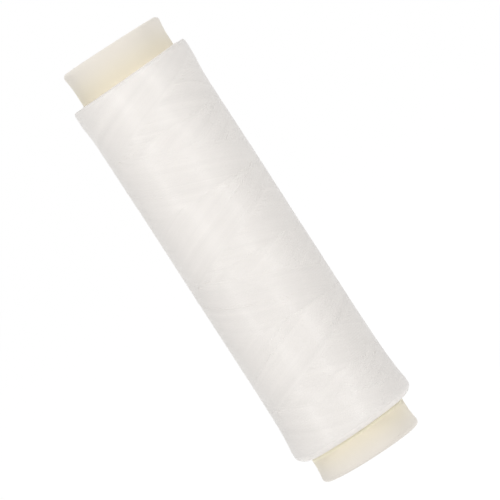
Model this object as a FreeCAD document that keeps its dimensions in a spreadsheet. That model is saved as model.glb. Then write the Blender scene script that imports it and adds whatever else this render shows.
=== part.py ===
import FreeCAD, Part

import math
import os

import Sketcher

# A spool of thread: a plastic tube with flared lips, and white thread cross-wound round it.
# Millimetres. The tube stands on its base rim, on the plane z = 0, with its axis along +Z.

SIZES = (
    # The tube
    ("tube_length", 127.0, "rim to rim"),
    ("bore_diameter", 25.4, "hole for the spool pin, right through"),
    ("tube_wall", 1.6, "wall between the lips"),
    ("lip_rise", 0.4, "how far a lip stands out from the wall"),
    ("lip_length", 5.8, "rim to the place where the wall starts to flare"),
    ("lip_round", 1.2, "round of a lip's outer edge"),
    ("bore_edge", 0.3, "round of the bore's edges"),
    # The wound thread, from the tube's surface out
    ("bare_base", 7.3, "bare tube below the thread"),
    ("bare_top", 8.3, "bare tube above the thread"),
    ("winding_depth", 2.73, "thread on the tube, at the straight side"),
    ("base_crest_rise", 0.93, "how far the base shoulder stands out from the side"),
    ("base_crest_end", 4.6, "top of the base shoulder's crest, above the thread's base"),
    ("base_taper", 17.1, "crest to straight side at the base"),
    ("base_corner", 2.0, "round of the base shoulder"),
    ("top_crest_rise", 0.53, "how far the top shoulder stands out from the side"),
    ("top_crest_end", 4.7, "bottom of the top shoulder's crest, below the thread's top"),
    ("top_taper", 8.0, "crest to straight side at the top"),
    ("top_corner", 0.8, "round of the top shoulder"),
    ("top_cone_angle", 24.0, "slope of the top end face, in degrees"),
    # The outermost layer of thread
    ("thread_diameter", 0.25, "one thread"),
    ("layer_gap", 0.45, "between strokes that climb and strokes that sink, where they cross"),
    ("seat_gap", 0.1, "between the sinking strokes and the thread below them"),
    ("strokes", 8, "runs from one end of the thread to the other"),
    ("stroke_turns", 2.875, "turns about the axis in one stroke"),
    ("turn_back", 0.25, "turns that the thread takes to turn back"),
    ("base_inset", 3.1, "lowest point of a turn back, above the thread's base"),
    ("top_inset", 2.7, "highest point of a turn back, below the thread's top"),
)
BIARCS_PER_STROKE = 11
# The thread's gap to itself is looked for between stretches that lie more than this many
# widths apart along it, and less than as many apart across.
NEAR_WIDTHS = 10

TUBE_RADIUS = "sizes.bore_diameter / 2 + sizes.tube_wall"
LAYER_DEPTH = "(2 * sizes.thread_diameter + sizes.layer_gap + sizes.seat_gap)"
CORE_RADIUS = f"{TUBE_RADIUS} + sizes.winding_depth - {LAYER_DEPTH}"
PACK_LENGTH = "sizes.tube_length - sizes.bare_base - sizes.bare_top"

START, END, CENTRE = 1, 2, 3  # the points of a line or an arc in a sketch
SKETCH_ORIGIN = (-1, 1)


class HalfSection:
    """One half of a lengthwise section, in the X-Z plane, that is turned about Z."""

    def __init__(self, body, name):
        plane = next(f for f in body.Origin.OriginFeatures if f.Role == "XZ_Plane")
        self.sketch = body.newObject("Sketcher::SketchObject", name)
        self.sketch.AttachmentSupport = [(plane, "")]
        self.sketch.MapMode = "FlatFace"
        self.body = body
        self.edges = {}

    def line(self, name, start, end):
        geometry = Part.LineSegment(FreeCAD.Vector(*start, 0), FreeCAD.Vector(*end, 0))
        self.edges[name] = self.sketch.addGeometry(geometry, False)

    def arc(self, name, centre, radius, first, last):
        """An arc that runs anticlockwise from the angle first to the angle last, in degrees."""
        circle = Part.Circle(FreeCAD.Vector(*centre, 0), FreeCAD.Vector(0, 0, 1), radius)
        geometry = Part.ArcOfCircle(circle, math.radians(first), math.radians(last))
        self.edges[name] = self.sketch.addGeometry(geometry, False)

    def rule(self, kind, *names):
        for name in names:
            self.sketch.addConstraint(Sketcher.Constraint(kind, self.edges[name]))

    def join(self, kind, name, point, other, other_point):
        edge, other_edge = self.edges[name], self.edges[other]
        self.sketch.addConstraint(Sketcher.Constraint(kind, edge, point, other_edge, other_point))

    def bind(self, constraint, formula):
        index = self.sketch.addConstraint(constraint)
        self.sketch.setExpression(f"Constraints[{index}]", formula)

    def place(self, kind, name, point, formula):
        """Sets a point's distance from the axis (DistanceX) or its height (DistanceY)."""
        edge = self.edges[name]
        at = self.sketch.getPoint(edge, point)
        value = at.x if kind == "DistanceX" else at.y
        self.bind(Sketcher.Constraint(kind, *SKETCH_ORIGIN, edge, point, value), formula)

    def radius(self, name, formula):
        edge = self.edges[name]
        value = self.sketch.Geometry[edge].Radius
        self.bind(Sketcher.Constraint("Radius", edge, value), formula)

    def turn(self, name):
        revolution = self.body.newObject("PartDesign::Revolution", name)
        revolution.Profile = self.sketch
        revolution.ReferenceAxis = (self.sketch, ["V_Axis"])
        revolution.Angle = 360
        self.sketch.Visibility = False
        return revolution


def make_sheet(doc):
    sheet = doc.addObject("Spreadsheet::Sheet", "sizes")
    for row, (alias, value, meaning) in enumerate(SIZES, start=1):
        sheet.set(f"A{row}", alias)
        sheet.set(f"B{row}", str(value))
        sheet.set(f"C{row}", meaning)
        sheet.setAlias(f"B{row}", alias)
    doc.recompute()
    return {alias: float(sheet.get(alias)) for alias, _, _ in SIZES}


def tube_radius(size):
    return size["bore_diameter"] / 2 + size["tube_wall"]


def pack_length(size):
    return size["tube_length"] - size["bare_base"] - size["bare_top"]


def layer_depth(size):
    """What the outermost layer takes: two threads, the gap between them and the gap below."""
    return 2 * size["thread_diameter"] + size["layer_gap"] + size["seat_gap"]


def taper_radius(rise, taper):
    """Radius of the arc that leaves the straight side smoothly and gains rise over taper."""
    return (taper ** 2 + rise ** 2) / (2 * rise)


def make_tube(doc, size):
    """The tube: a plain bore, and a wall that flares out to a rounded lip at each rim."""
    body = doc.addObject("PartDesign::Body", "core_tube")
    section = HalfSection(body, "tube_section")
    length = size["tube_length"]
    bore = size["bore_diameter"] / 2
    wall = tube_radius(size)
    edge = size["bore_edge"]
    lip = size["lip_round"]
    lip_centre = wall + size["lip_rise"] - lip
    flare_start = size["lip_length"]
    flare_height = flare_start - lip
    # The flare touches the wall, and the lip's round touches the flare.
    to_lip = taper_radius(size["lip_rise"], flare_height)
    flare = to_lip - lip
    swing = math.degrees(math.asin(flare_height / to_lip))

    section.line("bore", (bore, edge), (bore, length - edge))
    section.arc("top_bore_edge", (bore + edge, length - edge), edge, 90, 180)
    section.line("top_rim", (bore + edge, length), (lip_centre, length))
    section.arc("top_lip", (lip_centre, length - lip), lip, -swing, 90)
    section.arc("top_flare", (wall + flare, length - flare_start), flare, 180 - swing, 180)
    section.line("wall", (wall, length - flare_start), (wall, flare_start))
    section.arc("base_flare", (wall + flare, flare_start), flare, 180, 180 + swing)
    section.arc("base_lip", (lip_centre, lip), lip, -90, swing)
    section.line("base_rim", (lip_centre, 0), (bore + edge, 0))
    section.arc("base_bore_edge", (bore + edge, edge), edge, 180, 270)

    section.rule("Vertical", "bore", "wall")
    section.rule("Horizontal", "top_rim", "base_rim")
    section.join("Tangent", "bore", END, "top_bore_edge", END)
    section.join("Tangent", "top_bore_edge", START, "top_rim", START)
    section.join("Tangent", "top_rim", END, "top_lip", END)
    section.join("Tangent", "top_lip", START, "top_flare", START)
    section.join("Tangent", "top_flare", END, "wall", START)
    section.join("Tangent", "wall", END, "base_flare", START)
    section.join("Tangent", "base_flare", END, "base_lip", END)
    section.join("Tangent", "base_lip", START, "base_rim", START)
    section.join("Tangent", "base_rim", END, "base_bore_edge", END)
    section.join("Tangent", "base_bore_edge", START, "bore", START)

    section.place("DistanceX", "bore", START, "sizes.bore_diameter / 2")
    section.place("DistanceX", "wall", START, TUBE_RADIUS)
    section.place("DistanceY", "top_rim", START, "sizes.tube_length")
    section.place("DistanceY", "base_rim", START, "0")
    section.place("DistanceY", "wall", START, "sizes.tube_length - sizes.lip_length")
    section.place("DistanceY", "wall", END, "sizes.lip_length")
    for side in ("top", "base"):
        section.radius(f"{side}_bore_edge", "sizes.bore_edge")
        section.radius(f"{side}_lip", "sizes.lip_round")
        lip_place = f"{TUBE_RADIUS} + sizes.lip_rise - sizes.lip_round"
        section.place("DistanceX", f"{side}_lip", CENTRE, lip_place)
    section.turn("tube_turned")
    return body


def make_core(doc, size):
    """The thread under the outermost layer: an annulus on the tube, with a shoulder at each end."""
    body = doc.addObject("PartDesign::Body", "thread_core")
    section = HalfSection(body, "core_section")
    inner = tube_radius(size)
    side = inner + size["winding_depth"] - layer_depth(size)
    height = pack_length(size)
    base_crest = side + size["base_crest_rise"]
    base_crest_end = size["base_crest_end"]
    base_side = base_crest_end + size["base_taper"]
    base_corner = size["base_corner"]
    base_flare = taper_radius(size["base_crest_rise"], size["base_taper"])
    base_swing = math.degrees(math.asin(size["base_taper"] / base_flare))
    top_crest = side + size["top_crest_rise"]
    top_crest_end = height - size["top_crest_end"]
    top_side = top_crest_end - size["top_taper"]
    top_corner = size["top_corner"]
    top_flare = taper_radius(size["top_crest_rise"], size["top_taper"])
    top_swing = math.degrees(math.asin(size["top_taper"] / top_flare))
    cone = math.radians(size["top_cone_angle"])
    # The round touches the crest and the cone, which starts at the tube.
    across = top_crest - top_corner - inner
    corner_height = height - across * math.tan(cone) - top_corner / math.cos(cone)
    corner_start = (
        top_crest - top_corner + top_corner * math.sin(cone),
        corner_height + top_corner * math.cos(cone),
    )

    section.line("inner", (inner, 0), (inner, height))
    section.line("top_end", (inner, height), corner_start)
    cone_turn = 90 - size["top_cone_angle"]
    section.arc("top_corner", (top_crest - top_corner, corner_height), top_corner, 0, cone_turn)
    section.line("top_crest", (top_crest, corner_height), (top_crest, top_crest_end))
    section.arc("top_taper", (side + top_flare, top_side), top_flare, 180 - top_swing, 180)
    section.line("side", (side, top_side), (side, base_side))
    section.arc("base_taper", (side + base_flare, base_side), base_flare, 180, 180 + base_swing)
    section.line("base_crest", (base_crest, base_crest_end), (base_crest, base_corner))
    section.arc("base_corner", (base_crest - base_corner, base_corner), base_corner, -90, 0)
    section.line("base_end", (base_crest - base_corner, 0), (inner, 0))

    section.rule("Vertical", "inner", "top_crest", "side", "base_crest")
    section.rule("Horizontal", "base_end")
    section.join("Coincident", "inner", END, "top_end", START)
    section.join("Tangent", "top_end", END, "top_corner", END)
    section.join("Tangent", "top_corner", START, "top_crest", START)
    section.join("Coincident", "top_crest", END, "top_taper", START)
    section.join("Tangent", "top_taper", END, "side", START)
    section.join("Tangent", "side", END, "base_taper", START)
    section.join("Coincident", "base_taper", END, "base_crest", START)
    section.join("Tangent", "base_crest", END, "base_corner", END)
    section.join("Tangent", "base_corner", START, "base_end", START)
    section.join("Coincident", "base_end", END, "inner", START)

    section.place("DistanceX", "inner", START, TUBE_RADIUS)
    section.place("DistanceY", "inner", START, "0")
    section.place("DistanceY", "inner", END, PACK_LENGTH)
    section.place("DistanceX", "side", START, CORE_RADIUS)
    for end, step in (("base", "sizes.base_crest_end"), ("top", f"{PACK_LENGTH} - sizes.top_crest_end")):
        crest_point = START if end == "base" else END
        section.place("DistanceX", f"{end}_crest", crest_point, f"{CORE_RADIUS} + sizes.{end}_crest_rise")
        section.place("DistanceY", f"{end}_crest", crest_point, step)
        section.radius(f"{end}_corner", f"sizes.{end}_corner")
    section.place("DistanceY", "side", END, "sizes.base_crest_end + sizes.base_taper")
    section.place("DistanceY", "side", START, f"{PACK_LENGTH} - sizes.top_crest_end - sizes.top_taper")
    slope = Sketcher.Constraint("Angle", section.edges["top_end"], -cone)
    section.bind(slope, "-sizes.top_cone_angle * 1 deg")
    section.turn("core_turned")
    body.setExpression("Placement.Base.z", "sizes.bare_base")
    return body


def shoulder(rise, taper, past_crest):
    """How far a shoulder stands out at a distance past its crest, and how steeply it falls there."""
    if past_crest < 0:
        return rise, 0.0
    left = max(taper - past_crest, 0.0)
    radius = taper_radius(rise, taper)
    drop = math.sqrt(radius ** 2 - left ** 2)
    return radius - drop, left / drop


class Winding:
    """The way of the outermost thread: strokes that sink lie under the strokes that climb."""

    def __init__(self, size):
        self.size = size
        self.height = pack_length(size)
        self.side = tube_radius(size) + size["winding_depth"]
        self.layer = size["thread_diameter"] + size["layer_gap"]
        self.lowest = size["base_inset"]
        self.highest = self.height - size["top_inset"]
        self.ease = size["turn_back"] / 2
        self.climb = (self.highest - self.lowest) / (size["stroke_turns"] - self.ease)

    def surface(self, height):
        """The thread's outside radius at a height above its base, and its slope there."""
        size = self.size
        past_base = height - size["base_crest_end"]
        past_top = self.height - size["top_crest_end"] - height
        base, base_slope = shoulder(size["base_crest_rise"], size["base_taper"], past_base)
        top, top_slope = shoulder(size["top_crest_rise"], size["top_taper"], past_top)
        return self.side + base + top, top_slope - base_slope

    def node(self, stroke, turns):
        """The place and the way of the thread, so many turns after a stroke began."""
        size = self.size
        sinking = stroke % 2 == 0
        risen = self.climb * (turns - self.ease / 2)
        height = self.highest - risen if sinking else self.lowest + risen
        outside, slope = self.surface(height)
        radius = outside - size["thread_diameter"] / 2 - (self.layer if sinking else 0)
        angle = 2 * math.pi * (stroke * size["stroke_turns"] + turns)
        outward = FreeCAD.Vector(math.cos(angle), math.sin(angle), 0)
        around = FreeCAD.Vector(-math.sin(angle), math.cos(angle), 0)
        upward = FreeCAD.Vector(0, 0, 1)
        rate = -self.climb if sinking else self.climb
        way = around * (2 * math.pi * radius) + (upward + outward * slope) * rate
        return outward * radius + upward * height, way.normalize()

    def nodes(self):
        """Nodes at even steps along each stroke, from the end of one turn back to the next."""
        size = self.size
        step = (size["stroke_turns"] - 2 * self.ease) / BIARCS_PER_STROKE
        for stroke in range(int(size["strokes"])):
            for i in range(BIARCS_PER_STROKE + 1):
                yield self.node(stroke, self.ease + i * step)


def arc_by_corner(start, corner, end):
    """The arc from start to end whose tangents there meet at corner."""
    middle = (start + end) * 0.5
    cosine = (middle - start).Length / (corner - start).Length
    crown = middle + (corner - middle) * (cosine / (1 + cosine))
    return Part.Arc(start, crown, end).toShape()


def biarc(start, start_way, end, end_way):
    """Two arcs, smoothly joined, that leave start along start_way and reach end along end_way."""
    chord = end - start
    along = chord.dot(start_way + end_way)
    spread = 2 * (1 - start_way.dot(end_way))
    reach = (math.sqrt(along ** 2 + spread * chord.dot(chord)) - along) / spread
    first_corner = start + start_way * reach
    last_corner = end - end_way * reach
    middle = (first_corner + last_corner) * 0.5
    return [arc_by_corner(start, first_corner, middle), arc_by_corner(middle, last_corner, end)]


def least_gap(points, step, width):
    """The least gap between stretches of a tube, from points at even steps along its middle."""
    apart = math.ceil(NEAR_WIDTHS * width / step)
    order = sorted(range(len(points)), key=lambda i: points[i].z)
    least = NEAR_WIDTHS * width
    for place, i in enumerate(order):
        for j in order[place + 1:]:
            if points[j].z - points[i].z > least:
                break
            if abs(i - j) > apart:
                least = min(least, (points[i] - points[j]).Length)
    return least - width


def make_turns(doc, size):
    """The outermost thread: one unbroken tube, with a short straight run at each end."""
    width = size["thread_diameter"]
    winding = Winding(size)
    nodes = list(winding.nodes())
    first, first_way = nodes[0]
    last, last_way = nodes[-1]
    edges = [Part.LineSegment(first - first_way * width, first).toShape()]
    for here, there in zip(nodes, nodes[1:]):
        edges += biarc(*here, *there)
    edges.append(Part.LineSegment(last, last + last_way * width).toShape())
    path = Part.Wire(edges)
    circle = Part.Circle(first - first_way * width, first_way, width / 2)
    tube = path.makePipeShell([Part.Wire([circle.toShape()])], True, False)

    turns = doc.addObject("Part::Feature", "thread_outer_turns")
    turns.Shape = tube
    turns.setExpression("Placement.Base.z", "sizes.bare_base")

    points = path.discretize(Distance=width)
    surface = [winding.surface(p.z)[0] - layer_depth(size) for p in points]
    seat = min(math.hypot(p.x, p.y) - s for p, s in zip(points, surface)) - width / 2
    section = math.pi * width ** 2 / 4
    count = size["strokes"] * size["stroke_turns"] - size["turn_back"]
    print(f"thread: {count} turns, {path.Length:.1f} mm long, volume {tube.Volume:.3f},"
          f" section times length {section * path.Length:.3f}")
    print(f"thread: least gap to itself {least_gap(points, width, width):.3f},"
          f" least gap to the thread below it {seat:.3f}")
    return turns


def main():
    doc = FreeCAD.newDocument("spool_of_thread")
    size = make_sheet(doc)
    pieces = [make_tube(doc, size), make_core(doc, size), make_turns(doc, size)]
    doc.recompute()
    for item in doc.Objects:
        if {"Invalid", "Error"} & set(item.State):
            raise RuntimeError(f"{item.Label} did not recompute: {item.State}")
    for piece in pieces:
        shape = piece.Shape
        if shape.isNull() or not shape.isValid():
            raise RuntimeError(f"{piece.Label} has no valid shape")
    os.makedirs("parts", exist_ok=True)
    for piece in pieces:
        piece.Shape.exportStep(f"parts/{piece.Label}.step")
        box = piece.Shape.optimalBoundingBox()
        print(f"{piece.Label}: {len(piece.Shape.Solids)} solid, volume {piece.Shape.Volume:.1f},"
              f" x {box.XMin:.2f} to {box.XMax:.2f}, z {box.ZMin:.2f} to {box.ZMax:.2f}")


main()
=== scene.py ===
"""The looks of a long cross-wound thread spool, built around its packed CAD frame.

All lengths are metres and all angles radians, in the frame of the CAD model: +Z runs along the
tube from the base rim to the top rim, and the camera looks along +Y. An angle round the tube is 0
on the side that faces the camera and grows towards +X.
"""

import math

import bmesh
import bpy
import numpy as np
from mathutils import Matrix, Vector


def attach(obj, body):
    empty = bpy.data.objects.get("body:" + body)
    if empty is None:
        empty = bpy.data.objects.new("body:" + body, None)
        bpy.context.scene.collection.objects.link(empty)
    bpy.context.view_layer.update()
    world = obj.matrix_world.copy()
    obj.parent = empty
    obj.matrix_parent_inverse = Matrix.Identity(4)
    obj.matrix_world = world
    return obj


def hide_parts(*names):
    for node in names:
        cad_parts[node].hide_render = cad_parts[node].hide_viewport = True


bl_info = {
    "name": "Cross-Wound Thread Spool",
    "version": (1, 0, 0),
    "blender": (4, 5, 0),
    "location": "View3D > Sidebar > Spool",
    "description": "Builds a plastic thread tube with its cross-wound pack of sewing thread, "
    "and a plain stage for it",
    "category": "Add Mesh",
}

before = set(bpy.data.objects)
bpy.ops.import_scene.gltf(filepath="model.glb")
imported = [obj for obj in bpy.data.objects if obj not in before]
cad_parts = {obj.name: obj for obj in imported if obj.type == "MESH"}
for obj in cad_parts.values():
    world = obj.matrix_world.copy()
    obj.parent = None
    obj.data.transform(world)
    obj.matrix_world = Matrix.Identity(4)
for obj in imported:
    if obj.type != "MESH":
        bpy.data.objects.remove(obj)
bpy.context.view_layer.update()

TURN = 2 * math.pi
BODY = "root"
TUBE_TOP = 0.127  # height of the top rim
MIDDLE = Vector((0, 0, TUBE_TOP / 2))  # middle of the spool, which the lamps and camera face
WHITE = (1, 1, 1, 1)
THREAD_FINISH = "white filament thread"
STRAND_MAP = "Strand"  # millimetres along the thread, and turns round it
BAKE_MAP = "OFBake"  # the map laid out for baking each stretch of thread's finish

# Corners of a thread's section, in degrees from its outward side
ROUND = (0, -60, -120, 180, 120, 60)
PRESSED = (0, -42, -90, 180, 90, 42)  # for a thread that lies pressed flat on the older turns


# Settings


def length(name, description, default):
    return bpy.props.FloatProperty(
        name=name, description=description, default=default, unit="LENGTH", precision=5
    )


def angle(name, description, degrees):
    return bpy.props.FloatProperty(
        name=name, description=description, default=math.radians(degrees), subtype="ANGLE"
    )


def colour(name, description, default):
    return bpy.props.FloatVectorProperty(
        name=name, description=description, default=default, subtype="COLOR", size=3, min=0, max=1
    )


def factor(name, description, default):
    return bpy.props.FloatProperty(
        name=name, description=description, default=default, subtype="FACTOR", min=0, max=1
    )


def power(name, description, default):
    return bpy.props.FloatProperty(
        name=name, description=description, default=default, subtype="POWER", unit="POWER"
    )


def plain_number(name, description, default):
    return bpy.props.FloatProperty(name=name, description=description, default=default)


def whole_number(name, description, default):
    return bpy.props.IntProperty(name=name, description=description, default=default)


class TubeSettings(bpy.types.PropertyGroup):
    """The plastic tube's finish. Its shape is the CAD node's own."""

    plastic: colour("Plastic", "Colour of the plastic near the rims", (0.884, 0.84, 0.772))
    # painted bounce light: the plastic's yellower colour where light bounced off the thread would
    # warm it
    painted_bounce_plastic: colour(
        "Plastic by the Pack",
        "Yellower colour of the plastic beside the thread",
        (0.889, 0.83, 0.69),
    )
    # painted light: the plastic's brighter colour where it brightens away the winding's shadow on
    # the tube
    painted_light_plastic: colour(
        "Plastic at the Pack",
        "Brighter colour of the plastic right below the thread",
        (1.0, 0.955, 0.79),
    )
    roughness: factor("Roughness", "How far the plastic scatters its shine", 0.52)


class PackSettings(bpy.types.PropertyGroup):
    """The outside of the whole winding, as a turned shape round the tube."""

    tube_radius: length("Tube Radius", "Outside radius of the tube under the thread", 0.0143)
    base: length("Base End", "Height at which the winding starts", 0.0077)
    top: length("Top End", "Height at which the winding stops", 0.1179)
    radius: length("Radius", "Radius of the winding's straight middle", 0.01703)
    base_swell: length("Base Swell", "How far the winding swells at the base end", 0.00093)
    base_swell_height: length(
        "Base Swell Height", "Height up to which the base end is at its widest", 0.0119
    )
    base_swell_fade: length(
        "Base Swell Fade", "Height over which most of the base swell dies away", 0.0055
    )
    top_swell: length("Top Swell", "How far the winding swells at the top end", 0.00053)
    top_swell_height: length(
        "Top Swell Height", "Height from which the top end is at its widest", 0.114
    )
    top_swell_fade: length(
        "Top Swell Fade", "Height over which most of the top swell dies away", 0.0042
    )
    base_shoulder: length(
        "Base Shoulder", "Height of the rounded shoulder at the base end", 0.0028
    )
    top_shoulder: length("Top Shoulder", "Height of the rounded corner at the top end", 0.0006)
    top_cone: length("Top Cone", "Height of the conical face at the top end", 0.0004)
    base_lean: length(
        "Base Lean", "How much higher the base end is on its high side than in the middle", 0.0005
    )
    base_high_side: angle(
        "Base High Side", "Angle round the tube at which the base end is highest", 66
    )
    top_lean: length(
        "Top Lean", "How much higher the top end is on its high side than in the middle", 0.0007
    )
    top_high_side: angle(
        "Top High Side", "Angle round the tube at which the top end is highest", 115
    )
    base_shift: length(
        "Base Shift", "How far right of the tube's axis the base end is centred", 0.00014
    )
    top_shift: length(
        "Top Shift", "How far right of the tube's axis the top end is centred", -0.0001
    )
    under_colour: colour(
        "Inner Thread", "Colour of the thread below the outermost layer", (0.9, 0.865, 0.825)
    )


class ThreadSettings(bpy.types.PropertyGroup):
    """The thread, and how its outermost layer is wound."""

    diameter: length("Diameter", "Thickness of the thread where it is round", 0.00025)
    width: length(
        "Width", "Width of the thread where it lies pressed between its neighbours", 0.00033
    )
    thickness: length(
        "Thickness", "Thickness of the thread where it lies pressed between its neighbours", 0.00018
    )
    pitch: length("Pitch", "Height that the thread gains in one turn", 0.0388)
    passes: whole_number(
        "Passes", "Number of times that the thread goes up, and down again, in one layer", 160
    )
    turns_per_pass: whole_number(
        "Turns per Pass", "Turns that the thread makes from one end to the other", 3
    )
    base_turn: length(
        "Base Turn", "Height at which the thread turns back at the base end", 0.0095
    )
    top_turn: length("Top Turn", "Height at which the thread turns back at the top end", 0.1173)
    swap_height: length(
        "Swap Height",
        "Height of a ring at which the upper and lower threads change places",
        0.06194,
    )
    front: angle(
        "Front", "Angle round the tube at which the newest pass crosses that ring", -55.8
    )
    dip: length("Dip", "How far a thread lies below the one that crosses over it", 0.00015)
    age_drop: length(
        "Age Drop", "How much lower the oldest thread of the layer lies than the newest", 0.00005
    )
    turn_scatter: length(
        "Turn Scatter", "How far inside the ends some passes turn back", 0.00012
    )
    ring_scatter: plain_number(
        "Ring Scatter",
        "How far the rings stray up and down, as a share of the height between two of them",
        0.03,
    )
    wander: plain_number(
        "Wander", "How far bundles of thread stray sideways, in thread widths", 0.1
    )
    lift: length("Lift", "How far bundles of thread stand up or sink in", 0.000005)
    colour: colour("Thread", "Colour of the thread", (0.908, 0.873, 0.838))
    roughness: factor("Roughness", "How far the thread scatters its shine", 0.3)
    strays: whole_number(
        "Strays", "Number of passes that stand a little proud for part of their way", 9
    )
    stray_lift: length("Stray Lift", "How far those passes stand proud", 0.00006)
    seed: whole_number("Seed", "Start of the winding's irregularities", 5)


class StageSettings(bpy.types.PropertyGroup):
    """The floor, lamps, surroundings and camera."""

    floor: colour("Floor", "Colour of the floor", (0.95, 0.95, 0.95))
    floor_glow: factor(
        "Floor Glow", "Share of the floor's look that is plain white to the camera", 0.85
    )
    floor_white: plain_number(
        "Floor White", "Strength of that white, which brings the open floor to white", 1.08
    )
    sky: plain_number("Sky", "Strength of the light from all round", 0.405)
    overhead: plain_number(
        "Overhead", "Further strength of the light from straight above", 0.35
    )
    underlight: plain_number(
        "Underlight", "Further strength of the light through the floor from straight below", 1.1
    )
    lamp_distance: length("Lamp Distance", "Distance of both lamps from the spool", 1.2)
    lamp_width: length("Lamp Width", "Width of both lamps", 0.22)
    lamp_height: length("Lamp Height", "Height of both lamps", 0.3)
    lamp_rise: angle("Lamp Rise", "Angle of both lamps above the middle of the spool", 22)
    right_lamp: angle("Right Lamp", "Angle of the right lamp from the camera's side", 24)
    left_lamp: angle("Left Lamp", "Angle of the left lamp from the camera's side", -46)
    right_power: power("Right Lamp's Power", "Power of the right lamp", 3.86)
    left_power: power("Left Lamp's Power", "Power of the left lamp", 3.26)
    camera_distance: length(
        "Camera Distance", "Distance of the camera from the spool's axis", 1.2
    )
    camera_height: length("Camera Height", "Height of the camera above the base rim", 0.107)
    roll: angle(
        "Roll", "How far the camera is rolled, so that the spool's top leans to the left", 32.83
    )
    frame_height: length(
        "Frame Height", "Height that fills the picture at the spool's distance", 0.13097
    )
    aim_right: length(
        "Aim Right",
        "How far right of the spool's middle the camera aims, across the picture",
        0.00232,
    )
    aim_up: length(
        "Aim Up", "How far above the spool's middle the camera aims, up the picture", -0.00005
    )


SETTINGS = {
    "spool_tube": TubeSettings,
    "spool_pack": PackSettings,
    "spool_thread": ThreadSettings,
    "spool_stage": StageSettings,
}


# Shader nodes


class Wire:
    """A value in a node tree. Arithmetic written on it adds the Math nodes that work it out."""

    def __init__(self, nodes, socket):
        self.nodes = nodes
        self.socket = socket

    def __add__(self, other):
        return self.nodes.maths("ADD", self, other)

    def __radd__(self, other):
        return self.nodes.maths("ADD", other, self)

    def __sub__(self, other):
        return self.nodes.maths("SUBTRACT", self, other)

    def __rsub__(self, other):
        return self.nodes.maths("SUBTRACT", other, self)

    def __mul__(self, other):
        return self.nodes.maths("MULTIPLY", self, other)

    def __rmul__(self, other):
        return self.nodes.maths("MULTIPLY", other, self)

    def __truediv__(self, other):
        return self.nodes.maths("DIVIDE", self, other)


class Nodes:
    """A node tree that nodes are added to by type, settings and inputs."""

    def __init__(self, tree):
        self.tree = tree

    def add(self, kind, settings=None, inputs=None, output=0):
        """Adds a node, sets it, feeds its sockets values or wires, and returns one output."""
        node = self.tree.nodes.new(kind)
        for name, value in (settings or {}).items():
            setattr(node, name, value)
        for name, value in (inputs or {}).items():
            self.feed(node.inputs[name], value)
        return Wire(self, node.outputs[output])

    def feed(self, socket, value):
        if isinstance(value, Wire):
            self.tree.links.new(value.socket, socket)
        else:
            socket.default_value = value

    def maths(self, operation, *values):
        return self.add("ShaderNodeMath", {"operation": operation}, dict(enumerate(values)))

    def place(self):
        """The point's own place on the object."""
        return self.add("ShaderNodeTexCoord", output="Object")

    def parts(self, vector):
        apart = self.add("ShaderNodeSeparateXYZ", inputs={0: vector}).socket.node
        return [Wire(self, output) for output in apart.outputs]

    def vector(self, x, y, z):
        return self.add("ShaderNodeCombineXYZ", inputs={0: x, 1: y, 2: z})

    def noise(self, vector, scale, detail=2.0, roughness=0.5):
        inputs = {"Vector": vector, "Scale": scale, "Detail": detail, "Roughness": roughness}
        return self.add("ShaderNodeTexNoise", inputs=inputs)

    def ease(self, value, low, high):
        """Goes smoothly from 0 to 1 as value goes from low to high."""
        return self.add(
            "ShaderNodeMapRange",
            {"interpolation_type": "SMOOTHSTEP"},
            {"Value": value, "From Min": low, "From Max": high},
        )

    def blend(self, share, first, second, way="MIX"):
        """Mixes two colours."""
        settings = {"data_type": "RGBA", "blend_type": way}
        return self.add("ShaderNodeMix", settings, {0: share, 6: first, 7: second}, 2)

    def grey(self, value):
        return self.add("ShaderNodeCombineColor", inputs={0: value, 1: value, 2: value})

    def bump(self, height, distance, strength):
        inputs = {"Height": height, "Distance": distance, "Strength": strength}
        return self.add("ShaderNodeBump", inputs=inputs)


class Finish(Nodes):
    """A material, as the nodes behind its Principled shader."""

    def __init__(self, name):
        self.material = bpy.data.materials.new(name)
        self.material.use_nodes = True
        super().__init__(self.material.node_tree)
        self.shader = self.tree.nodes["Principled BSDF"]

    def set(self, **sockets):
        for name, value in sockets.items():
            self.feed(self.shader.inputs[name.replace("_", " ")], value)
        return self.material


def opaque(tint, share=1):
    """The colour, or a darker share of it, with its alpha."""
    return (*(share * part for part in tint), 1.0)


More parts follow.
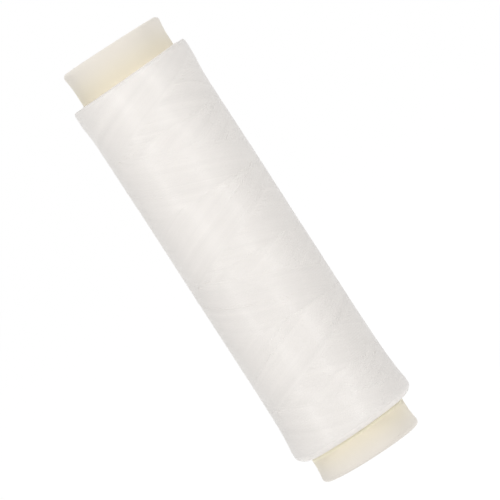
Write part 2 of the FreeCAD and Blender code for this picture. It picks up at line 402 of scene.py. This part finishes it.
def plastic_finish(tube, pack):
    """Ivory moulded plastic with a soft waxy shine and faint clouding.

    Painted bounce light makes it yellower towards the thread. Right below the winding's base end a
    painted light ring, leaning as that end does, brightens away the winding's shadow on the tube.
    """
    plain_rim = 0.0005  # height of each rim's plain edge, from which the painted bounce light grows
    ring_fade, ring_end = 0.0005, 0.0011  # depths below the winding over which the painted light ring fades
    finish = Finish("ivory plastic")
    place = finish.place()
    x, y, height = finish.parts(place)
    # Painted bounce light: yellower towards the thread, with random clouding.
    from_base = finish.ease(height, plain_rim, pack.base)
    from_top = finish.ease(height, TUBE_TOP - plain_rim, pack.top)
    clouds = finish.noise(place, scale=90.0, detail=7.0, roughness=0.68)
    painted_bounce = from_base * from_top * (0.75 + 0.5 * clouds)

    # Painted light ring right below the winding's base end, leaning as that end does, that
    # brightens away the shadow which the winding casts on the tube.
    high_side = pack.base_high_side
    sideways = (x * math.sin(high_side) - y * math.cos(high_side)) / pack.tube_radius
    below_pack = pack.base - (height - pack.base_lean * sideways)
    glow = finish.ease(below_pack, ring_end, ring_fade) * finish.ease(height, pack.top, pack.base)

    tint = finish.blend(painted_bounce, opaque(tube.plastic), opaque(tube.painted_bounce_plastic))
    tint = finish.blend(glow, tint, opaque(tube.painted_light_plastic))
    tint = finish.blend(1.0, tint, finish.grey(0.97 + 0.06 * clouds), "MULTIPLY")
    ripples = finish.noise(place, scale=420.0)
    grain = finish.noise(place, scale=6000.0, roughness=0.6)
    return finish.set(
        Base_Color=tint,
        Roughness=tube.roughness - 0.06 + 0.12 * ripples,
        Diffuse_Roughness=0.7,
        Specular_IOR_Level=0.35,
        Normal=finish.bump(ripples + 0.15 * grain, distance=0.00002, strength=0.6),
    )


def thread_finish(thread):
    """Silky filament thread, made once. Its shade is an attribute of the thread's own mesh."""
    made = bpy.data.materials.get(THREAD_FINISH)
    if made:
        return made
    twist = 2.2  # millimetres of thread in which its filaments go round it once
    fine_round, fine_along = 1.6, 0.35  # how finely they part round the thread, and along it
    finish = Finish(THREAD_FINISH)
    strand = finish.add("ShaderNodeUVMap", {"uv_map": STRAND_MAP})
    along, around, _ = finish.parts(strand)
    turned = (around + along / twist) * TURN
    filament_place = finish.vector(
        finish.maths("COSINE", turned) * fine_round,
        finish.maths("SINE", turned) * fine_round,
        along * fine_along,
    )
    filaments = finish.noise(filament_place, scale=1.8, roughness=0.6)
    # shade: random tone of bundles and turns, and painted light on the winding's end faces
    shade = finish.add("ShaderNodeAttribute", {"attribute_name": "shade"}, output="Fac")
    patches = finish.noise(finish.place(), scale=160.0, detail=3.0, roughness=0.6)
    light = shade + (filaments - 0.5) * 0.05 + (patches - 0.5) * 0.03
    return finish.set(
        Base_Color=finish.blend(1.0, opaque(thread.colour), finish.grey(light), "MULTIPLY"),
        Roughness=thread.roughness - 0.04 + 0.08 * filaments,
        Specular_IOR_Level=0.5,
        Normal=finish.bump(filaments, distance=0.000008, strength=0.5),
    )


def inner_thread_finish(pack, thread):
    """The crossing threads of the layers below, which show only between the outer turns."""
    finish = Finish("inner thread")
    x, y, height = finish.parts(finish.place())
    round_tube = finish.maths("ARCTAN2", y, x) * pack.radius
    slant = thread.pitch / (TURN * pack.radius)
    tight = TURN / thread.diameter
    up = finish.maths("SINE", (height - round_tube * slant) * tight)
    down = finish.maths("SINE", (height + round_tube * slant) * tight)
    relief = finish.maths("MAXIMUM", up, down)
    # Painted shade: the thread is 3 % darker in the grooves between the crossing threads.
    painted_groove_shade = opaque(pack.under_colour, 0.97)
    return finish.set(
        Base_Color=finish.blend(0.5 + 0.5 * relief, painted_groove_shade, opaque(pack.under_colour)),
        Roughness=0.45,
        Specular_IOR_Level=0.5,
        Normal=finish.bump(relief, distance=0.00006, strength=0.8),
    )


# The winding's outside

ROUNDED = 0.86  # share of the top shoulder's quarter round that comes before its conical face
TOP_SIDE, BASE_SIDE = 0.0016, 0.0012  # how far along the side the outline of each end reaches
TOP_LEAN_FROM, BASE_LEAN_FROM = 0.1, 0.026  # heights from which each end leans
TOP_SHIFT_FROM, BASE_SHIFT_FROM = 0.085, 0.035  # heights from which each end shifts sideways
SHIFT_FADE = 0.02  # height over which a shift comes in


def straight_side(pack):
    """Heights between which the winding's side is neither rounded nor conical."""
    return pack.base + pack.base_shoulder, pack.top - pack.top_cone - pack.top_shoulder


def pack_radius(pack, heights):
    """Radius of the winding's side, with its swollen ends and rounded shoulders."""
    over_base = np.maximum(heights - pack.base_swell_height, 0) / pack.base_swell_fade
    under_top = np.maximum(pack.top_swell_height - heights, 0) / pack.top_swell_fade
    swell = pack.base_swell * np.exp(-over_base) + pack.top_swell * np.exp(-(under_top**2))
    radius = pack.radius + swell
    base_edge, top_edge = straight_side(pack)
    drop = np.clip((base_edge - heights) / pack.base_shoulder, 0, 1)
    radius -= (1 - np.sqrt(1 - drop**2)) * (pack.radius + pack.base_swell - pack.tube_radius)
    drop = np.clip((heights - top_edge) / pack.top_shoulder, 0, ROUNDED)
    radius -= (1 - np.sqrt(1 - drop**2)) * pack.top_shoulder
    cone_edge = top_edge + ROUNDED * pack.top_shoulder
    cone = np.clip((heights - cone_edge) / (pack.top - cone_edge), 0, 1)
    return radius + cone * (pack.tube_radius - radius)


def end_outline(pack, at_top, spacing):
    """Evenly spaced stops from a little way along the side, over one end face, to the tube.

    Each is a radius, a height, and the angle by which the surface there looks up from level.
    """
    base_edge, top_edge = straight_side(pack)
    if at_top:
        heights = np.linspace(top_edge - TOP_SIDE, pack.top, 500)
    else:
        side = base_edge + np.linspace(BASE_SIDE, 0, 100, endpoint=False)
        shoulder = pack.base_shoulder * (1 - np.sin(np.linspace(0, TURN / 4, 400)))
        heights = np.append(side, pack.base + shoulder)
    radii = pack_radius(pack, heights)
    inward, onward = np.gradient(radii), np.gradient(heights)
    facing = np.arctan2(-inward, onward) if at_top else np.arctan2(inward, -onward)
    run = np.concatenate([[0], np.cumsum(np.hypot(np.diff(radii), np.diff(heights)))])
    stops = np.arange(0.5 * spacing, run[-1] - 0.3 * spacing, spacing)
    return np.stack([np.interp(stops, run, values) for values in (radii, heights, facing)], 1)


def leaned(pack, angles, heights):
    """Heights with both ends of the winding leaning a little to one side."""
    near_top = np.clip((heights - TOP_LEAN_FROM) / (pack.top - TOP_LEAN_FROM), 0, 1) ** 2
    near_base = np.clip((BASE_LEAN_FROM - heights) / (BASE_LEAN_FROM - pack.base), 0, 1) ** 2
    top = pack.top_lean * np.cos(angles - pack.top_high_side)
    base = pack.base_lean * np.cos(angles - pack.base_high_side)
    return heights + near_top * top + near_base * base


def shifted(pack, angles, radii, heights):
    """Radii with both ends of the winding shifted a little sideways."""
    near_top = np.clip((heights - TOP_SHIFT_FROM) / SHIFT_FADE, 0, 1)
    near_base = np.clip((BASE_SHIFT_FROM - heights) / SHIFT_FADE, 0, 1)
    return radii + np.sin(angles) * (near_top * pack.top_shift + near_base * pack.base_shift)


def at_angle(angles, radii, heights):
    """Points from angles round the tube, with their fourth curve coordinate."""
    places = [radii * np.sin(angles), -radii * np.cos(angles), heights, np.ones_like(heights)]
    return np.stack(places, -1)


def make_inner_pack(pack, thread):
    """All the thread below the outermost layer, as one turned solid under the outer turns."""
    below = thread.dip + 0.6 * thread.thickness  # clears the lowest of the outer turns
    rim, seat = 0.0003, 0.0001  # least height of an end face on the tube, and depth into it
    ends = []
    for at_top in (False, True):
        inner = [
            (radius - below * math.cos(facing), height - 0.8 * below * math.sin(facing))
            for radius, height, facing in end_outline(pack, at_top, spacing=0.0005)
            if radius > pack.tube_radius + rim
        ]
        ends.append(inner + [(pack.tube_radius - seat, inner[-1][1])])
    sides = np.linspace(*straight_side(pack), 30)
    side = list(zip(pack_radius(pack, sides) - below, sides))[1:-1]
    outline = ends[0][::-1] + side + ends[1]

    turned = bmesh.new()
    points = [turned.verts.new((0, -radius, height)) for radius, height in outline]
    edges = [turned.edges.new(pair) for pair in zip(points, points[1:] + points[:1])]
    bmesh.ops.spin(
        turned,
        geom=points + edges,
        cent=(0, 0, 0),
        axis=(0, 0, 1),
        angle=TURN,
        steps=96,
        use_merge=True,
    )
    bmesh.ops.remove_doubles(turned, verts=turned.verts, dist=1e-6)
    bmesh.ops.recalc_face_normals(turned, faces=turned.faces)
    for vert in turned.verts:
        where = math.atan2(vert.co.x, -vert.co.y)
        vert.co.z = float(leaned(pack, where, np.array(vert.co.z)))
    for face in turned.faces:
        face.smooth = True
    mesh = bpy.data.meshes.new("inner_pack")
    turned.to_mesh(mesh)
    turned.free()
    return mesh


# Meshes of thread


def add_curve(name, lines, closed=False, facings=None):
    """Links a curve of straight segments through each line's points, tilted by its facing."""
    data = bpy.data.curves.new(name, "CURVE")
    data.dimensions = "2D" if closed else "3D"
    for number, points in enumerate(lines):
        spline = data.splines.new("POLY")
        spline.points.add(len(points) - 1)
        spline.points.foreach_set("co", points.ravel())
        spline.use_cyclic_u = closed
        if facings is not None:
            spline.points.foreach_set("tilt", np.full(len(points), -facings[number]))
    curve = bpy.data.objects.new(name, data)
    bpy.context.scene.collection.objects.link(curve)
    return curve


def sweep(name, runs, outline, facings):
    """A mesh of the outline swept along each run of points, with its ends closed."""
    section = add_curve("outline", [outline], closed=True)
    curve = add_curve(name, runs, facings=facings)
    curve.data.twist_mode = "Z_UP"
    curve.data.bevel_mode = "OBJECT"
    curve.data.bevel_object = section
    evaluated = curve.evaluated_get(bpy.context.evaluated_depsgraph_get())
    mesh = bpy.data.meshes.new_from_object(evaluated)
    for holder in (section, curve):
        bpy.data.curves.remove(holder.data)
    mesh.name = name
    expected = len(runs) * len(runs[0]) * len(outline)
    if len(mesh.vertices) != expected:
        raise RuntimeError(f"{name} has {len(mesh.vertices)} points, not {expected}")
    capped = bmesh.new()
    capped.from_mesh(mesh)
    rims = [edge for edge in capped.edges if edge.is_boundary]
    bmesh.ops.holes_fill(capped, edges=rims, sides=len(outline))
    capped.to_mesh(mesh)
    capped.free()
    return mesh


def map_thread(mesh, runs, sides, cuts, columns):
    """Gives swept runs their strand map and their bake map.

    The bake map cuts each run into so many stretches, lays each in a strip of its own, and stacks
    the strips in so many columns.
    """
    margin_along, margin_around = 0.02, 0.06  # bare shares of a strip at each end and each side
    count = len(runs[0])
    vertex = np.empty(len(mesh.loops), np.int32)
    mesh.loops.foreach_get("vertex_index", vertex)
    first = np.empty(len(mesh.polygons), np.int32)
    mesh.polygons.foreach_get("loop_start", first)
    face = np.repeat(np.arange(len(first)), np.diff([*first, len(vertex)]))
    station, side = vertex // sides, vertex % sides
    run, station = station // count, station % count
    seam = (np.maximum.reduceat(side, first)[face] == sides - 1) & (side == 0)
    around = (side + sides * seam) / sides

    per_cut = (count - 1) // cuts
    start = np.minimum.reduceat(station, first)[face]
    stretch = np.minimum(start // per_cut, cuts - 1)
    strip = run * cuts + stretch
    rows = math.ceil(len(runs) * cuts / columns)
    along = margin_along + (1 - 2 * margin_along) * (station - stretch * per_cut) / per_cut
    across = margin_around + (1 - 2 * margin_around) * around
    bake = np.stack([(strip % columns + along) / columns, (strip // columns + across) / rows], 1)

    steps = [np.linalg.norm(np.diff(points[:, :3], axis=0), axis=1) for points in runs]
    reached = np.array([np.concatenate([[0], np.cumsum(step)]) for step in steps])
    strand = np.stack([1000 * reached[run, station], around], 1)
    for layer in list(mesh.uv_layers):
        mesh.uv_layers.remove(layer)
    for name, places in ((STRAND_MAP, strand), (BAKE_MAP, bake)):
        layer = mesh.uv_layers.new(name=name)
        layer.uv.foreach_set("vector", places.astype(np.float32).ravel())


def thread_mesh(name, runs, corners, thread, shades, facings=None, cuts=1, columns=1):
    """A mesh of thread along each run of points, with its maps and its shade.

    All runs have the same number of points. The outward side of each looks up from level by its
    facing.
    """
    turned = np.radians(corners)
    thick, wide = np.cos(turned) * thread.thickness / 2, np.sin(turned) * thread.width / 2
    outline = np.stack([thick, wide, np.zeros_like(turned), np.ones_like(turned)], 1)
    mesh = sweep(name, runs, outline, facings)
    map_thread(mesh, runs, len(corners), cuts, columns)
    shade = np.repeat(np.asarray(shades, np.float32).ravel(), len(corners))
    mesh.attributes.new("shade", "FLOAT", "POINT").data.foreach_set("value", shade)
    return mesh


# The thread's route


def smooth_noise(rng, rows, stations, reach):
    """Random numbers of spread 1 that drift slowly from row to row, over about reach rows."""
    loose = rng.standard_normal((rows, stations))
    shifts = np.arange(-3 * reach, 3 * reach + 1)
    weights = np.exp(-0.5 * (shifts / max(reach, 0.4)) ** 2)
    mixed = sum(weight * np.roll(loose, shift, 0) for shift, weight in zip(shifts, weights))
    return mixed / mixed.std()


class Winding:
    """The route of the outermost layer's one thread, which climbs and falls between two turns."""

    POINTS = 180  # steps in one pass
    FINE = 24  # finer steps in each of them, for finding where threads cross over
    RAMP = math.radians(1.4)  # half the angle over which a thread rises or dips
    EARLY = 6  # how many of the finer steps before its turn on top a thread has risen
    RING_REACH = 6  # passes over which the rings stray together
    GOLDEN = 0.618034  # the turning places step by this share, so that they never bunch up
    OUTSIDE = 0.12  # share of the turn scatter by which the outermost pass turns back late
    BASE_PULL, TOP_PULL = 1.1, 0.9  # angles over which a pass leaves its own turning place
    SINGLE = 0.25  # how far single turns wander, as a share of how far bundles do
    BUNDLE_SHADE, SINGLE_SHADE = 0.010, 0.006  # how much the shade of bundles and turns varies

    def __init__(self, thread, pack):
        self.thread = thread
        self.pack = pack
        self.rise = thread.pitch / TURN
        self.step = TURN / thread.passes
        self.sweep = TURN * thread.turns_per_pass + self.step / 2
        to_swap = (thread.swap_height - thread.base_turn) / self.rise
        self.base_ease = math.ceil(to_swap / math.pi) * math.pi + self.step / 2 - to_swap
        span = (thread.top_turn - thread.base_turn) / self.rise
        self.top_ease = self.sweep - span - self.base_ease
        if min(self.base_ease, self.top_ease) <= 0:
            raise RuntimeError("the pitch, turns per pass and turning heights leave no room")
        self.fine = np.linspace(0, self.sweep, self.POINTS * self.FINE + 1)
        self.heights = self.height_at(self.fine)

    def height_at(self, turned):
        """Height after turning by this angle from the base turn.

        It nears a straight helix away from both ends.
        """
        left = self.sweep - turned
        straight = self.thread.base_turn + self.rise * (turned - self.base_ease)
        base = np.sqrt(turned**2 + self.base_ease**2) - turned
        top = np.sqrt(left**2 + self.top_ease**2) - left
        return straight + self.rise * (base - top)

    def stops(self, below):
        """Angles of a pass's points, with two where it rises over or dips under the others."""
        even = np.linspace(0, self.sweep, self.POINTS + 1)
        stops = even.copy()
        for cross in self.fine[np.flatnonzero(np.diff(below))] + self.fine[1] / 2:
            at = min(max(int(cross / even[1]), 1), self.POINTS - 2)
            stops[at : at + 2] = cross - self.RAMP, cross + self.RAMP
        stops.sort()
        stops = np.append(0, np.maximum(np.diff(stops), 0.2 * self.RAMP).cumsum())
        return stops * (self.sweep / stops[-1])

    def crossings(self, order):
        """Every pass's angles round the tube, angles from the base turn, and place in the layer.

        The place is whether a point lies below the thread that it crosses, and the age of the
        newer of the two. Order moves the rings at which the threads change places.
        """
        count = self.thread.passes
        swap = np.interp(self.thread.swap_height, self.heights, self.fine)
        newest_up, newest_down = self.thread.front - swap, self.thread.front + swap
        rows = []
        for number in range(count):
            age = (count - number - 0.5) / count
            base = newest_up - age * TURN
            for climbing in (True, False):
                if climbing:
                    other = (newest_down - base - 2 * self.fine) / TURN % 1
                else:
                    other = (newest_up - base - 2 * self.sweep + 2 * self.fine) / TURN % 1
                met = (count * (1 - other)).astype(int).clip(0, count - 1)
                below = age + order[number] > other + order[met]
                for _ in range(self.EARLY):
                    after, before = np.append(below[1:], below[-1]), np.append(below[0], below[:-1])
                    below = below & after & before
                stops = self.stops(below)
                nearest = np.rint(stops / self.fine[1]).astype(int).clip(0, len(self.fine) - 1)
                onward = base + stops if climbing else base + 2 * self.sweep - stops
                row = np.array([onward, stops, below[nearest], np.minimum(age, other)[nearest]])
                rows.append(row if climbing else row[:, ::-1])
        return np.stack(rows, 1)

    def passes(self):
        """Angle, height, radius and shade of every point, in the order in which it was wound."""
        thread, pack = self.thread, self.pack
        count = thread.passes
        rng = np.random.default_rng(thread.seed)
        order = thread.ring_scatter * smooth_noise(rng, count, 1, self.RING_REACH)[:, 0]
        angles, turned, under, newest = self.crossings(order)
        stations = np.linspace(0, self.sweep, 4 * thread.turns_per_pass + 1)

        def drift(reach):
            ways = [smooth_noise(rng, count, len(stations), reach) for _ in range(2)]
            fields = np.stack(ways, 1).reshape(2 * count, -1)
            return np.array([np.interp(row, stations, field) for row, field in zip(turned, fields)])

        held = np.sin(np.pi * turned / self.sweep).clip(0) ** 0.3  # 0 at both turns
        angles = angles + self.step * thread.wander * held * (drift(3) + self.SINGLE * drift(0))
        heights = np.interp(turned, self.fine, self.heights)
        scatter = (np.arange(count + 1) * self.GOLDEN) % 1 - self.OUTSIDE
        row = np.arange(2 * count)[:, None]
        base_pull = scatter[::-1][(row + 1) // 2] * np.exp(-((turned / self.BASE_PULL) ** 2))
        top_pull = scatter[row // 2] * np.exp(-(((self.sweep - turned) / self.TOP_PULL) ** 2))
        heights = heights + thread.turn_scatter * (base_pull - top_pull)
        radii = pack_radius(pack, heights) - thread.thickness / 2
        radii = radii - under * thread.dip - newest * thread.age_drop * (1 - under)
        radii = radii + thread.lift * (0.7 * drift(2) + 0.5 * drift(0))
        radii = radii + self.strays(rng, turned)
        radii = shifted(pack, angles, radii, heights)
        heights = leaned(pack, angles, heights)
        shades = 1 + self.BUNDLE_SHADE * drift(2) + self.SINGLE_SHADE * drift(0)
        return angles, heights, radii, shades

    def strays(self, rng, turned):
        """How far a few passes stand proud, each for part of its way."""
        lift = np.zeros_like(turned)
        for row in rng.choice(len(turned), self.thread.strays, replace=False):
            middle, reach = rng.uniform(0.1, 0.9) * self.sweep, rng.uniform(1.0, 2.5)
            lift[row] = self.thread.stray_lift * np.exp(-(((turned[row] - middle) / reach) ** 4))
        return lift


# Pieces


def add_piece(name, mesh, finish):
    """Links a finished mesh as a shown piece of the spool."""
    piece = bpy.data.objects.new(name, mesh)
    bpy.context.scene.collection.objects.link(piece)
    mesh.materials.clear()
    mesh.materials.append(finish)
    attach(piece, BODY)
    return piece


class SPOOL_OT_finish_tube(bpy.types.Operator):
    """Gives the tube its ivory plastic"""

    bl_idname = "spool.finish_tube"
    bl_label = "Finish Tube"

    def execute(self, context):
        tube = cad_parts["core_tube"]
        finish = plastic_finish(context.scene.spool_tube, context.scene.spool_pack)
        tube.data.materials.clear()
        tube.data.materials.append(finish)
        return {"FINISHED"}


class SPOOL_OT_wind_inner_pack(bpy.types.Operator):
    """Builds the thread below the outermost layer"""

    bl_idname = "spool.wind_inner_pack"
    bl_label = "Wind Inner Pack"

    def execute(self, context):
        pack, thread = context.scene.spool_pack, context.scene.spool_thread
        mesh = make_inner_pack(pack, thread)
        piece = add_piece("inner_pack", mesh, inner_thread_finish(pack, thread))
        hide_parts("thread_core")
        return {"FINISHED"}


class SPOOL_OT_wind_end_turns(bpy.types.Operator):
    """Builds the bends of the older layers that show on the winding's two end faces"""

    bl_idname = "spool.wind_end_turns"
    bl_label = "Wind End Turns"

    BENDS = 30  # bends round each ring of an end face
    RING = 0.6  # thread widths from one ring to the next
    REACH = np.linspace(-0.5, 0.5, 9)  # angles of a bend's points from its middle
    DIVE = 0.6  # share of a turn's own curve that a bend keeps on the end face
    SCATTER = 0.3  # how far a bend strays round its ring, in gaps between two bends
    OVERLAP = 0.0003  # height over which the bends sink under the outer turns
    COLUMNS = 16  # columns of the bake map

    def execute(self, context):
        thread = context.scene.spool_thread
        winding = Winding(thread, context.scene.spool_pack)
        rng = np.random.default_rng(thread.seed + 1)
        for name, at_top in (("base_end_turns", False), ("top_end_turns", True)):
            runs, facings, shades = self.bends(winding, at_top, rng)
            mesh = thread_mesh(name, runs, ROUND, thread, shades, facings, columns=self.COLUMNS)
            piece = add_piece(name, mesh, thread_finish(thread))
            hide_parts("thread_core")
        return {"FINISHED"}

    def bends(self, winding, at_top, rng):
        """Points, facing and shades of every bend on one end face, ring by ring."""
        thread, pack = winding.thread, winding.pack
        ease, inward = (winding.top_ease, -1) if at_top else (winding.base_ease, 1)
        dive = self.DIVE * winding.rise * (np.sqrt(self.REACH**2 + ease**2) - ease)
        depth_of_pack = pack.radius - pack.tube_radius
        runs, facings, shades = [], [], []
        for radius, height, facing in end_outline(pack, at_top, self.RING * thread.width):
            deep = max(0.0, 1 - (radius - pack.tube_radius) / depth_of_pack)
            shade = 1 + min(0.09, 0.05 + 0.2 * deep)  # painted light: a little brighter, most of all by the tube, where the end faces lie in shade
            past = (height - thread.top_turn if at_top else thread.base_turn - height) - dive
            sunk = np.clip(0.5 - past / self.OVERLAP, 0, 1)
            for bend in range(self.BENDS):
                stray = rng.uniform(-self.SCATTER, self.SCATTER)
                angles = (bend + stray) * TURN / self.BENDS + self.REACH
                depth = (0.5 + 0.5 * sunk + rng.uniform(0, 0.2)) * thread.thickness
                heights = height - depth * math.sin(facing) + inward * dive
                radii = radius - depth * math.cos(facing)
                radii = np.maximum(radii, pack.tube_radius + 0.3 * thread.width)
                radii = shifted(pack, angles, radii, heights)
                runs.append(at_angle(angles, radii, leaned(pack, angles, heights)))
                facings.append(facing)
                shades.append(np.full(len(angles), shade + 0.006 * rng.standard_normal()))
        return runs, facings, shades


class SPOOL_OT_wind_outer_turns(bpy.types.Operator):
    """Winds the outermost layer: one unbroken thread up and down the pack, in four stretches"""

    bl_idname = "spool.wind_outer_turns"
    bl_label = "Wind Outer Turns"

    STRETCHES = 4  # meshes that the one thread is shared out to

    def execute(self, context):
        thread = context.scene.spool_thread
        angles, heights, radii, shades = Winding(thread, context.scene.spool_pack).passes()
        points = at_angle(angles, radii, heights)
        borders = np.linspace(0, len(points), self.STRETCHES + 1).astype(int)
        for number, (start, stop) in enumerate(zip(borders, borders[1:]), 1):
            run = np.concatenate([points[start:stop, :-1].reshape(-1, 4), points[stop - 1, -1:]])
            shade = np.concatenate([shades[start:stop, :-1].ravel(), shades[stop - 1, -1:]])
            name = f"outer_turns_{number}"
            mesh = thread_mesh(name, [run], PRESSED, thread, [shade], cuts=stop - start)
            piece = add_piece(name, mesh, thread_finish(thread))
            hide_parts("thread_outer_turns")
        return {"FINISHED"}


# Stage


def white_to_the_eye(nodes):
    """1 for rays that show the surroundings: from the camera, off gloss or through glass."""
    path = nodes.add("ShaderNodeLightPath").socket.node
    seen = Wire(nodes, path.outputs["Is Camera Ray"])
    for name in ("Is Glossy Ray", "Is Transmission Ray"):
        seen = nodes.maths("MAXIMUM", seen, Wire(nodes, path.outputs[name]))
    return seen


def add_lamp(name, stage, turned, watts):
    """A soft lamp that faces the middle of the spool."""
    data = bpy.data.lights.new(name, "AREA")
    data.shape = "RECTANGLE"
    data.size, data.size_y = stage.lamp_width, stage.lamp_height
    data.energy = watts
    lamp = bpy.data.objects.new(name, data)
    flat = math.cos(stage.lamp_rise)
    away = Vector((math.sin(turned) * flat, -math.cos(turned) * flat, math.sin(stage.lamp_rise)))
    turn = away.to_track_quat("Z", "Y").to_matrix().to_4x4()
    lamp.matrix_world = Matrix.Translation(MIDDLE + away * stage.lamp_distance) @ turn
    bpy.context.scene.collection.objects.link(lamp)


def add_camera(stage):
    """The camera, level with the upper half of the spool and rolled as the photograph is."""
    data = bpy.data.cameras.new("camera")
    camera = bpy.data.objects.new("camera", data)
    bpy.context.scene.collection.objects.link(camera)
    bpy.context.scene.camera = camera
    eye = Vector((0, -stage.camera_distance, stage.camera_height))
    away = (eye - MIDDLE).normalized()
    turn = away.to_track_quat("Z", "Y").to_matrix() @ Matrix.Rotation(-stage.roll, 3, "Z")
    aim = MIDDLE + turn @ Vector((stage.aim_right, stage.aim_up, 0))
    away = (eye - aim).normalized()
    across = turn @ Vector((1, 0, 0))
    across = (across - away * across.dot(away)).normalized()
    facing = Matrix((across, away.cross(across), away)).transposed().to_4x4()
    camera.matrix_world = Matrix.Translation(eye) @ facing
    data.sensor_width = 36
    data.lens = data.sensor_width * (eye - MIDDLE).length / stage.frame_height
    data.clip_start, data.clip_end = 0.01, 20


class SPOOL_OT_set_stage(bpy.types.Operator):
    """Sets the floor, the surroundings, the two lamps and the camera"""

    bl_idname = "spool.set_stage"
    bl_label = "Set Stage"

    def execute(self, context):
        stage = context.scene.spool_stage
        self.lay_floor(stage)
        self.light_surroundings(context.scene, stage)
        add_lamp("right lamp", stage, stage.right_lamp, stage.right_power)
        add_lamp("left lamp", stage, stage.left_lamp, stage.left_power)
        add_camera(stage)
        context.scene.view_settings.view_transform = "Standard"
        return {"FINISHED"}

    def lay_floor(self, stage):
        """A light table: white to the camera, with a faint shadow, and clear to the light below."""
        grid = bmesh.new()
        bmesh.ops.create_grid(grid, x_segments=8, y_segments=8, size=4.0)
        mesh = bpy.data.meshes.new("floor")
        grid.to_mesh(mesh)
        grid.free()
        floor = bpy.data.objects.new("light table", mesh)
        bpy.context.scene.collection.objects.link(floor)
        finish = Finish("light table")
        speckle = finish.noise(finish.place(), scale=400.0, detail=3.0)
        tint = finish.blend(speckle, opaque(stage.floor, 0.985), opaque(stage.floor))
        finish.set(Base_Color=tint, Roughness=0.9, Specular_IOR_Level=0.0)
        glow = {"Color": WHITE, "Strength": stage.floor_white}
        white = finish.add("ShaderNodeEmission", inputs=glow)
        matt = Wire(finish, finish.shader.outputs["BSDF"])
        surface = finish.add("ShaderNodeMixShader", inputs={0: stage.floor_glow, 1: matt, 2: white})
        clear = finish.add("ShaderNodeBsdfTransparent")
        shown = {0: white_to_the_eye(finish), 1: clear, 2: surface}
        output = finish.tree.nodes["Material Output"]
        finish.feed(output.inputs["Surface"], finish.add("ShaderNodeMixShader", inputs=shown))
        mesh.materials.append(finish.material)

    def light_surroundings(self, scene, stage):
        """White surroundings, whose light is stronger straight above and straight below."""
        world = bpy.data.worlds.new("surroundings")
        world.use_nodes = True
        scene.world = world
        nodes = Nodes(world.node_tree)
        light = nodes.tree.nodes["Background"]
        _, _, upward = nodes.parts(nodes.add("ShaderNodeTexCoord", output="Generated"))
        above, below = nodes.maths("MAXIMUM", upward, 0.0), nodes.maths("MINIMUM", upward, 0.0)
        ends = above * above * stage.overhead + below * below * stage.underlight
        nodes.feed(light.inputs["Strength"], ends + stage.sky)
        nodes.feed(light.inputs["Color"], WHITE)
        white = nodes.add("ShaderNodeBackground", inputs={"Color": WHITE, "Strength": 1.0})
        shown = {0: white_to_the_eye(nodes), 1: Wire(nodes, light.outputs[0]), 2: white}
        output = nodes.tree.nodes["World Output"]
        nodes.feed(output.inputs["Surface"], nodes.add("ShaderNodeMixShader", inputs=shown))


OPERATORS = (
    SPOOL_OT_finish_tube,
    SPOOL_OT_wind_inner_pack,
    SPOOL_OT_wind_end_turns,
    SPOOL_OT_wind_outer_turns,
    SPOOL_OT_set_stage,
)


class SPOOL_PT_panel(bpy.types.Panel):
    """Lists the spool's steps and settings"""

    bl_idname = "SPOOL_PT_panel"
    bl_label = "Thread Spool"
    bl_space_type = "VIEW_3D"
    bl_region_type = "UI"
    bl_category = "Spool"

    def draw(self, context):
        for operator in OPERATORS:
            self.layout.operator(operator.bl_idname)
        for name, group in SETTINGS.items():
            box = self.layout.box()
            box.label(text=group.__doc__.split(".")[0])
            for setting in group.__annotations__:
                box.prop(getattr(context.scene, name), setting)


CLASSES = (*SETTINGS.values(), *OPERATORS, SPOOL_PT_panel)


def register():
    for group in CLASSES:
        bpy.utils.register_class(group)
    for name, group in SETTINGS.items():
        setattr(bpy.types.Scene, name, bpy.props.PointerProperty(type=group))


def unregister():
    for name in SETTINGS:
        delattr(bpy.types.Scene, name)
    for group in reversed(CLASSES):
        bpy.utils.unregister_class(group)


def main():
    register()
    bpy.ops.spool.finish_tube()
    bpy.ops.spool.wind_inner_pack()
    bpy.ops.spool.wind_end_turns()
    bpy.ops.spool.wind_outer_turns()
    bpy.ops.spool.set_stage()


if __name__ == "__main__":
    main()
